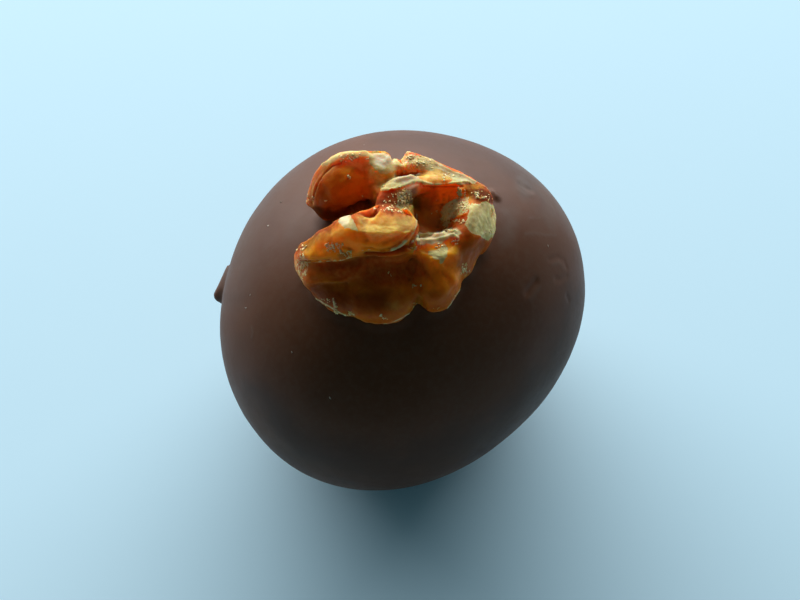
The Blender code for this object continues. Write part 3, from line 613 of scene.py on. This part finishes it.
class Surface:
    """A mesh as arrays, with the helpers that sculpt and mask it."""

    def __init__(self, obj):
        self.mesh = obj.data
        self.co = np.empty(len(self.mesh.vertices) * 3)
        self.mesh.vertices.foreach_get("co", self.co)
        self.co = self.co.reshape(-1, 3)
        self.rest = self.co.copy()
        self.tree = tree_of(obj)
        self.edges = np.empty(len(self.mesh.edges) * 2, np.int64)
        self.mesh.edges.foreach_get("vertices", self.edges)
        self.edges = self.edges.reshape(-1, 2)
        self.read_normals()
        self.spots = picture(self.rest)
        towards = np.array(EYE) - self.rest
        towards /= np.linalg.norm(towards, axis=1)[:, None]
        self.turned = (self.normals * towards).sum(1)
        self.seen = np.clip(self.turned * SEEN_SLOPE + SEEN_START, 0.0, 1.0)

    def read_normals(self):
        """Takes the vertices' normals from the mesh."""
        normals = np.empty(len(self.co) * 3)
        self.mesh.vertex_normals.foreach_get("vector", normals)
        self.normals = normals.reshape(-1, 3)

    def write(self):
        """Gives the mesh its sculpted shape."""
        self.mesh.vertices.foreach_set("co", self.co.ravel())
        self.mesh.update()
        self.read_normals()

    def raise_by(self, height):
        """Moves the vertices out along their normals by heights in mm."""
        self.co += self.normals * (height * MM)[:, None]

    def bulging(self, passes):
        """How far each vertex stands out of its smoothed surroundings, in mm."""
        a, b = self.edges[:, 0], self.edges[:, 1]
        count = len(self.co)
        share = np.maximum(np.bincount(a, minlength=count) + np.bincount(b, minlength=count), 1)
        smooth = self.co.copy()
        for _ in range(passes):
            moved = np.empty_like(smooth)
            for i in range(3):
                total = np.bincount(a, smooth[b, i], count) + np.bincount(b, smooth[a, i], count)
                moved[:, i] = total / share
            smooth = 0.5 * smooth + 0.5 * moved
        return ((self.co - smooth) * self.normals).sum(1) / MM

    def hit(self, x, y):
        """The point of the untouched surface that a point of the picture shows, or None."""
        return self.tree.ray_cast(EYE, sight(x, y))[0]

    def on_surface(self, points, step=1.2):
        """A line of the picture laid on the surface, as points a step of pixels apart."""
        found = []
        for (x0, y0), (x1, y1) in zip(points, points[1:]):
            pieces = max(1, int(math.hypot(x1 - x0, y1 - y0) / step))
            for i in range(pieces):
                share = i / pieces
                found.append(self.hit(x0 + (x1 - x0) * share, y0 + (y1 - y0) * share))
        found.append(self.hit(*points[-1]))
        return np.array([spot for spot in found if spot is not None])

    def away(self, line):
        """Each vertex's distance in mm from a line of closely spaced points."""
        near = np.full(len(self.rest), np.inf)
        for point in line:
            near = np.minimum(near, ((self.rest - point) ** 2).sum(1))
        return np.sqrt(near) / MM

    def area(self, outline, soft, wander=None, reach=1.0):
        """1 inside an outline of the picture and 0 outside it, on the side that the camera sees."""
        spots = self.spots if wander is None else self.spots + wander
        ring = np.array(outline, float)
        inside = np.zeros(len(spots), bool)
        nearest = np.full(len(spots), np.inf)
        for a, b in zip(ring, np.roll(ring, -1, axis=0)):
            run = b - a
            along = np.clip(((spots - a) @ run) / (run @ run), 0.0, 1.0)
            nearest = np.minimum(nearest, np.linalg.norm(spots - a - along[:, None] * run, axis=1))
            if run[1]:
                crossing = a[0] + (spots[:, 1] - a[1]) * run[0] / run[1]
                crosses = (a[1] > spots[:, 1]) != (b[1] > spots[:, 1])
                inside ^= crosses & (spots[:, 0] < crossing)
        signed = np.where(inside, nearest, -nearest)
        mask = eased(np.clip(signed / soft * 0.5 + 0.5, 0.0, 1.0)) * self.seen
        middle = ring.mean(axis=0)
        spot = self.hit(*middle)
        if spot is None:
            return mask
        far = np.linalg.norm(self.rest - np.array(spot), axis=1)
        radius = np.linalg.norm(ring - middle, axis=1).max() / PIXELS_PER_MM * MM
        limit = radius * AREA_REACH * reach + AREA_FADE
        return mask * np.clip((limit - far) / AREA_FADE, 0.0, 1.0)

    def grain(self, size, octaves, seed):
        """Noise over the surface, about -1 to 1, with grains of a size."""
        shift = Vector((seed * 13.1, seed * 7.7, seed * 3.3))
        spots = (Vector(point) / size + shift for point in self.rest)
        return np.array([noise.fractal(spot, 1.0, 2.1, octaves) for spot in spots])

    def keep(self, name, values):
        """Stores a mask on the mesh for the material to read."""
        layer = self.mesh.attributes.new(name, "FLOAT", "POINT")
        layer.data.foreach_set("value", np.clip(values, 0.0, 1.0).astype(np.float32))


def blend(masks, name, values):
    """Adds to a mask where the values are stronger than what it holds."""
    masks[name] = np.maximum(masks[name], values)


# The walnut

kernel_obj = piece_from_node("walnut_kernel", "walnut_piece", KERNEL_VOXEL, KERNEL_PASSES)
kernel = Surface(kernel_obj)

coarse = kernel.grain(size=1.6 * MM, octaves=3, seed=1.0)
fine = kernel.grain(size=0.55 * MM, octaves=3, seed=2.0)
grit = kernel.grain(size=0.26 * MM, octaves=2, seed=3.0)
other = kernel.grain(size=1.3 * MM, octaves=3, seed=4.0)
wander = np.stack([coarse * WANDER_COARSE + fine * WANDER_FINE, other * WANDER_COARSE + grit], axis=1)

# Each area gives its finish, and the flat ones are pressed flat round their middle
masks = {name: np.zeros(len(kernel.co)) for name in FINISHES}
torn = np.zeros(len(kernel.co))
for name, finish, strength, soft, outline in AREAS:
    mask = kernel.area(outline, soft, wander)
    blend(masks, finish, mask * strength)
    if name in FLAT:
        broad = kernel.area(outline, soft + FLAT_SOFT)
        middle = (kernel.rest * broad[:, None]).sum(0) / broad.sum()
        amount, towards = FLAT[name]
        normal = (kernel.normals * broad[:, None]).sum(0) if towards is None else np.array(towards)
        normal /= np.linalg.norm(normal)
        height = np.clip((kernel.rest - middle) @ normal, FLAT_DEEPEST * MM, FLAT_HIGHEST * MM)
        kernel.co -= normal * (height * broad * amount)[:, None]
        torn = np.maximum(torn, mask)

# Lines of uneven width, with torn cream and white along some of them
uneven = np.clip(1.0 + 0.45 * coarse + 0.3 * fine, 0.5, 1.6)
patchy = np.clip(0.9 + 0.8 * fine, 0.0, 1.0)
for name, height, half_width, cream, white, points in LINES:
    gap = kernel.away(kernel.on_surface(points))
    weight = eased(np.clip(1.0 - gap / (half_width * uneven), 0.0, 1.0))
    kernel.raise_by(weight * height)
    blend(masks, "cream", weight * cream * patchy)
    blend(masks, "white", weight * white * patchy)
kernel.write()

# Skin wrinkles all round, and a finer grain on the torn areas
kernel.raise_by((SKIN_WRINKLES * coarse + SKIN_RIPPLES * fine) * (1.0 - torn))
kernel.raise_by((TORN_RIPPLES * fine + TORN_GRIT * grit) * torn)
kernel.write()

# Crests lose their skin, folds get painted shade, and the unseen sides are darker in patches
crest = kernel.bulging(CREST_PASSES)
worn = np.clip((crest - WORN_FROM) / WORN_RANGE, 0.0, 1.0)
worn *= np.clip(0.35 + 1.4 * fine + 0.8 * coarse, 0.0, 1.0)
fold = np.clip((-crest - FOLD_FROM) / FOLD_RANGE, 0.0, 1.0)
unseen = 1.0 - kernel.seen
blend(masks, "cream", worn * (WORN_SEEN + WORN_UNSEEN * unseen))
blend(masks, "dark", fold * FOLD_DARK)
blend(masks, "shade", unseen * np.clip(0.5 - 0.3 * coarse, 0.0, 1.0))
blend(masks, "orange", unseen * np.clip(0.5 * coarse, 0.0, 0.5))
masks["cream"] *= 1.0 - 0.95 * masks.pop("bare_orange")
for name, values in masks.items():
    kernel.keep(name, values)


def crumb(bm, spot, normal, size):
    """One angular crumb, half sunk into the surface."""
    made = bmesh.ops.create_icosphere(bm, subdivisions=2, radius=1.0)
    sides = [rng.uniform(*span) for span in (CRUMB_LENGTH, CRUMB_WIDTH, CRUMB_HEIGHT)]
    stretch = Matrix.Diagonal((*sides, 1.0))
    turn = normal.to_track_quat("Z", "Y").to_matrix().to_4x4()
    spin = Matrix.Rotation(rng.uniform(0.0, 6.3), 4, "Z") @ Matrix.Rotation(rng.uniform(-0.5, 0.5), 4, "X")
    seed = Vector((rng.uniform(0, 50), rng.uniform(0, 50), rng.uniform(0, 50)))
    for vert in made["verts"]:
        vert.co *= 1.0 + CRUMB_ROUGHNESS * noise.noise(vert.co * 1.6 + seed)
    place = Matrix.Translation(spot - normal * size * CRUMB_SUNK) @ turn @ spin @ stretch
    bmesh.ops.transform(bm, matrix=place @ Matrix.Scale(size, 4), verts=made["verts"])


# Crumbs strewn over the walnut
kernel_tree = tree_of(kernel_obj)
crumbs_bm = bmesh.new()
for name, (x, y), (wide, high), count, size in CRUMBS:
    for _ in range(count):
        aim = sight(x + rng.gauss(0.0, 0.5) * wide, y + rng.gauss(0.0, 0.5) * high)
        spot, normal, _, _ = kernel_tree.ray_cast(EYE, aim)
        if spot is not None:
            crumb(crumbs_bm, spot, normal, size * MM * rng.uniform(0.5, 1.3))
crumbs_obj = object_from(crumbs_bm, "kernel_crumbs")
crumbs_obj.data.shade_smooth()

# The chocolate

body_obj = piece_from_node("chocolate_body", "chocolate_ball", BODY_VOXEL, BODY_PASSES)
body = Surface(body_obj)

# Chocolate drawn up a little where the walnut was pressed in, so that the two meet
gap = np.full(len(body.rest), np.inf)
for i in np.nonzero(body.rest[:, 2] > PRESSED_ABOVE)[0]:
    gap[i] = kernel_tree.find_nearest(Vector(body.rest[i]))[3] / MM
pressed = np.clip(1.0 - (gap - PRESSED_GAP) / PRESSED_REACH, 0.0, 1.0)
body.raise_by(PRESSED_RISE * pressed * pressed)

# The tail turned down along the ball's side, about the line of sight through the ball's middle
heights, shifts = zip(*TAIL_SHIFT)
turn = np.interp(body.spots[:, 1], heights, shifts) / BALL_RADIUS
turn *= np.interp(body.spots[:, 0], TAIL_FADE, (1.0, 0.0))
offset = body.co - np.array(BALL_MIDDLE)
across, along = offset @ np.array(RIGHT), offset @ np.array(UP)
body.co += np.outer(across * np.cos(turn) - along * np.sin(turn) - across, np.array(RIGHT))
body.co += np.outer(across * np.sin(turn) + along * np.cos(turn) - along, np.array(UP))

body.raise_by(SWELLS * body.grain(size=6.0 * MM, octaves=2, seed=6.0))

# Bloom, painted sheen, highlight and shade, dents, scratches and specks
body_masks = {"bloom": np.zeros(len(body.co)), "painted_shade": np.zeros(len(body.co))}
drift_across = body.grain(size=2.6 * MM, octaves=3, seed=7.0)
drift_along = body.grain(size=2.6 * MM, octaves=3, seed=8.0)
drift = np.stack([drift_across, drift_along], axis=1) * DRIFT
for name, finish, strength, soft, outline in BODY_AREAS:
    blend(body_masks, finish, body.area(outline, soft, drift, reach=3.0) * strength)
for name, height, half_width, pale, points in BODY_LINES:
    gap = body.away(body.on_surface(points))
    weight = eased(np.clip(1.0 - gap / half_width, 0.0, 1.0))
    body.raise_by(weight * height)
    blend(body_masks, "bloom", weight * pale)
body.write()
for name, values in body_masks.items():
    body.keep(name, values)
body.keep("hidden", np.interp(body.turned, HIDDEN_TURNED, HIDDEN_SHARES))

body_tree = tree_of(body_obj)
specks_bm = bmesh.new()
for x, y in BODY_SPECKS:
    spot, normal, _, _ = body_tree.ray_cast(EYE, sight(x, y))
    crumb(specks_bm, spot, normal, SPECK_SIZE * MM * rng.uniform(0.8, 1.3))
specks_obj = object_from(specks_bm, "chocolate_specks")
specks_obj.data.shade_smooth()


class Nodes:
    """A short way to lay out a material's nodes."""

    def __init__(self, name):
        self.material = bpy.data.materials.new(name)
        self.material.use_nodes = True
        self.tree = self.material.node_tree
        self.shader = self.tree.nodes["Principled BSDF"]

    def put(self, kind, inputs=None, **settings):
        """A new node with its settings, and its sockets linked or set."""
        node = self.tree.nodes.new(kind)
        for key, value in settings.items():
            setattr(node, key, value)
        for key, value in (inputs or {}).items():
            self.plug(node.inputs[key], value)
        return node

    def plug(self, socket, value):
        """Links a socket to an output, or sets it to a value."""
        if isinstance(value, bpy.types.NodeSocket):
            self.tree.links.new(value, socket)
        else:
            socket.default_value = value

    def shade(self, **sockets):
        """Links or sets the shader's sockets, named with underscores for their spaces."""
        for name, value in sockets.items():
            self.plug(self.shader.inputs[name.replace("_", " ")], value)

    def mask(self, name):
        return self.put("ShaderNodeAttribute", attribute_name=name).outputs["Fac"]

    def island(self):
        """A random share for each loose bit of a piece."""
        return self.put("ShaderNodeNewGeometry").outputs["Random Per Island"]

    def noise(self, scale, detail, rough=0.55):
        spot = self.put("ShaderNodeTexCoord").outputs["Object"]
        made = self.put("ShaderNodeTexNoise", {
            "Vector": spot, "Scale": scale, "Detail": detail, "Roughness": rough,
        })
        return made.outputs["Fac"]

    def ramp(self, value, low, high, from_value=0.0, to_value=1.0):
        """The value stretched from low..high to from_value..to_value, and held at those ends."""
        made = self.put("ShaderNodeMapRange", {
            "Value": value, "From Min": low, "From Max": high, "To Min": from_value, "To Max": to_value,
        })
        return made.outputs["Result"]

    def mix(self, share, a, b, blend_type="MIX"):
        made = self.put("ShaderNodeMix", data_type="RGBA", blend_type=blend_type)
        self.plug(made.inputs["Factor"], share)
        self.plug(made.inputs[6], a)
        self.plug(made.inputs[7], b)
        return made.outputs[2]

    def math(self, operation, a, b, clamp=False):
        made = self.put("ShaderNodeMath", operation=operation, use_clamp=clamp)
        self.plug(made.inputs[0], a)
        self.plug(made.inputs[1], b)
        return made.outputs[0]

    def times(self, a, b):
        return self.math("MULTIPLY", a, b)

    def bump(self, height, strength, distance, normal=None):
        """A normal that shows heights, on top of another normal where there is one."""
        made = self.put("ShaderNodeBump", {"Height": height, "Strength": strength, "Distance": distance})
        if normal is not None:
            self.plug(made.inputs["Normal"], normal)
        return made.outputs["Normal"]


def walnut_material():
    """Amber skin that light soaks into, with torn cream flesh and grains, a painted glow, and painted shade
    in its folds, cleft and crevices and on its lower front.
    """
    n = Nodes("walnut_skin")
    mottled = n.ramp(n.noise(scale=420.0, detail=4.0), 0.35, 0.65)
    fine_spots = n.ramp(n.noise(scale=1900.0, detail=4.0, rough=0.6), 0.40, 0.62)
    grains = n.noise(scale=4300.0, detail=3.0, rough=0.6)
    veins = n.ramp(n.noise(scale=700.0, detail=5.0, rough=0.7), 0.50, 0.66)

    colour = n.mix(n.times(fine_spots, 0.3), n.mix(mottled, *SKIN), SKIN_SPOTS)
    colour = n.mix(n.mask("orange"), colour, n.mix(mottled, *ORANGE))
    colour = n.mix(n.mask("gold"), colour, n.mix(fine_spots, *GOLD))
    # Amber: a painted glow of light through the kernel
    colour = n.mix(n.mask("amber"), colour, PAINTED_GLOW)
    colour = n.mix(n.mask("red"), colour, n.mix(fine_spots, *RED))
    # Dark skin, and painted shade on the lower front, feet and folds
    colour = n.mix(n.mask("dark"), colour, DARK)

    # Cream flesh with a ragged edge, and grains that grow thicker with their mask
    ragged = n.math("ADD", n.mask("cream"), n.times(n.math("SUBTRACT", fine_spots, 0.5), 0.35))
    torn_edge = n.ramp(ragged, 0.32, 0.52)
    colour = n.mix(torn_edge, colour, n.mix(fine_spots, *CREAM))
    thick = n.math("SUBTRACT", 1.0, n.times(n.mask("speck"), 0.62))
    specks = n.ramp(n.math("SUBTRACT", grains, thick), 0.0, 0.05)
    colour = n.mix(n.times(specks, 0.85), colour, GRAINS)
    colour = n.mix(n.mask("white"), colour, WHITE)
    colour = n.mix(n.times(veins, 0.35), colour, VEINS, "MULTIPLY")
    # Painted shade, multiplied into the colour
    colour = n.mix(n.mask("shade"), colour, SHADE, "MULTIPLY")

    rough = n.ramp(torn_edge, 0.0, 1.0, 0.36, 0.55)
    rough = n.math("ADD", rough, n.times(n.mask("shade"), 0.45), clamp=True)
    grain = n.bump(n.noise(scale=2600.0, detail=3.0), 0.25, 0.06 * MM)
    torn_bump = n.bump(n.times(specks, n.mask("speck")), 0.6, 0.10 * MM, grain)
    n.shade(
        Base_Color=colour,
        Roughness=n.math("ADD", rough, n.times(mottled, 0.08)),
        Subsurface_Weight=n.ramp(torn_edge, 0.0, 1.0, 0.78, 0.3),
        Subsurface_Radius=(1.0, 0.28, 0.06),
        Subsurface_Scale=3.8 * MM,
        Specular_IOR_Level=0.12,
        Specular_Tint=(1.0, 0.66, 0.36, 1.0),
        Normal=n.bump(n.noise(scale=900.0, detail=4.0), 0.35, 0.10 * MM, torn_bump),
    )
    return n.material


def crumb_material():
    """Bits of kernel, from cream to amber."""
    n = Nodes("torn_kernel")
    n.shade(
        Base_Color=n.mix(n.island(), *CRUMB_TONES),
        Roughness=0.4,
        Subsurface_Weight=0.3,
        Subsurface_Radius=(1.0, 0.5, 0.2),
        Subsurface_Scale=0.5 * MM,
        Normal=n.bump(n.noise(scale=3000.0, detail=2.0), 0.3, 0.04 * MM),
    )
    return n.material


def chocolate_material():
    """Satin dark chocolate with a grey bloom in places, tones lightened into a painted sheen with a painted
    highlight, and painted shade near the walnut and towards the ball's foot.
    """
    n = Nodes("dark_chocolate")
    cloud = n.ramp(n.noise(scale=95.0, detail=4.0, rough=0.6), 0.38, 0.66)
    dusty = n.ramp(n.noise(scale=1500.0, detail=4.0, rough=0.65), 0.45, 0.62)
    patches = n.ramp(n.noise(scale=260.0, detail=5.0, rough=0.65), 0.25, 0.75, 0.55, 1.0)
    # The chocolate's tones, lightened into a painted sheen
    colour = n.mix(n.times(dusty, 0.18), n.mix(cloud, *CHOCOLATE), CHOCOLATE_DUST)
    # Bloom, which also paints the sheen on the sides and a highlight under the walnut
    colour = n.mix(n.times(n.times(n.mask("bloom"), patches), 0.55), colour, BLOOM_AND_SHEEN)
    # Painted shade near the walnut and towards the ball's foot
    colour = n.mix(n.mask("painted_shade"), colour, DEEP, "MULTIPLY")
    # Darkened on the side turned from the camera, where the painted sheen is taken off
    colour = n.mix(n.mask("hidden"), colour, HIDDEN, "MULTIPLY")
    grain = n.bump(n.noise(scale=2300.0, detail=3.0), 0.12, 0.05 * MM)
    n.shade(
        Base_Color=colour,
        Roughness=n.math("ADD", n.ramp(cloud, 0.0, 1.0, 0.46, 0.54), n.times(dusty, 0.05)),
        IOR=1.45,
        Specular_IOR_Level=0.2,
        Normal=n.bump(n.noise(scale=420.0, detail=4.0), 0.12, 0.12 * MM, grain),
    )
    return n.material


def speck_material():
    """Pale dust on the chocolate."""
    n = Nodes("dust_speck")
    n.shade(Base_Color=n.mix(n.island(), *SPECK_TONES), Roughness=0.6)
    return n.material


def paper_material():
    """Pale blue paper, almost even."""
    n = Nodes("pale_paper")
    tone = n.noise(scale=60.0, detail=5.0)
    n.shade(Base_Color=n.mix(tone, *PAPER), Roughness=0.8, Specular_IOR_Level=0.2)
    return n.material


kernel_obj.data.materials.append(walnut_material())
crumbs_obj.data.materials.append(crumb_material())
body_obj.data.materials.append(chocolate_material())
specks_obj.data.materials.append(speck_material())

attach(kernel_obj, "root")
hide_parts("walnut_kernel")
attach(crumbs_obj, "root")
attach(body_obj, "root")
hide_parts("chocolate_body")
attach(specks_obj, "root")

# Floor, light and camera

floor_bm = bmesh.new()
bmesh.ops.create_circle(floor_bm, cap_ends=True, segments=96, radius=PAPER_RADIUS)
floor = object_from(floor_bm, "floor")
floor.data.materials.append(paper_material())

world = bpy.data.worlds.new("room")
world.use_nodes = True
world.node_tree.nodes["Background"].inputs["Color"].default_value = ROOM_COLOUR
world.node_tree.nodes["Background"].inputs["Strength"].default_value = ROOM_STRENGTH
bpy.context.scene.world = world
bpy.context.scene.view_settings.view_transform = "Standard"

lamp = bpy.data.lights.new("window", "AREA")
lamp.shape = "RECTANGLE"
lamp.size = WINDOW_WIDTH
lamp.size_y = WINDOW_HEIGHT
lamp.energy = WINDOW_POWER
window = link(bpy.data.objects.new("window", lamp))
window.location = WINDOW_PLACE
window.rotation_mode = "QUATERNION"
window.rotation_quaternion = (WINDOW_TARGET - WINDOW_PLACE).to_track_quat("-Z", "Y")

camera_data = bpy.data.cameras.new("camera")
camera_data.lens = LENS
camera_data.sensor_width = SENSOR
camera_data.clip_start = NEAR_CLIP
camera = link(bpy.data.objects.new("camera", camera_data))
camera.location = EYE
camera.rotation_mode = "QUATERNION"
camera.rotation_quaternion = AHEAD.to_track_quat("-Z", "Y")
bpy.context.scene.camera = camera

bpy.context.view_layer.update()
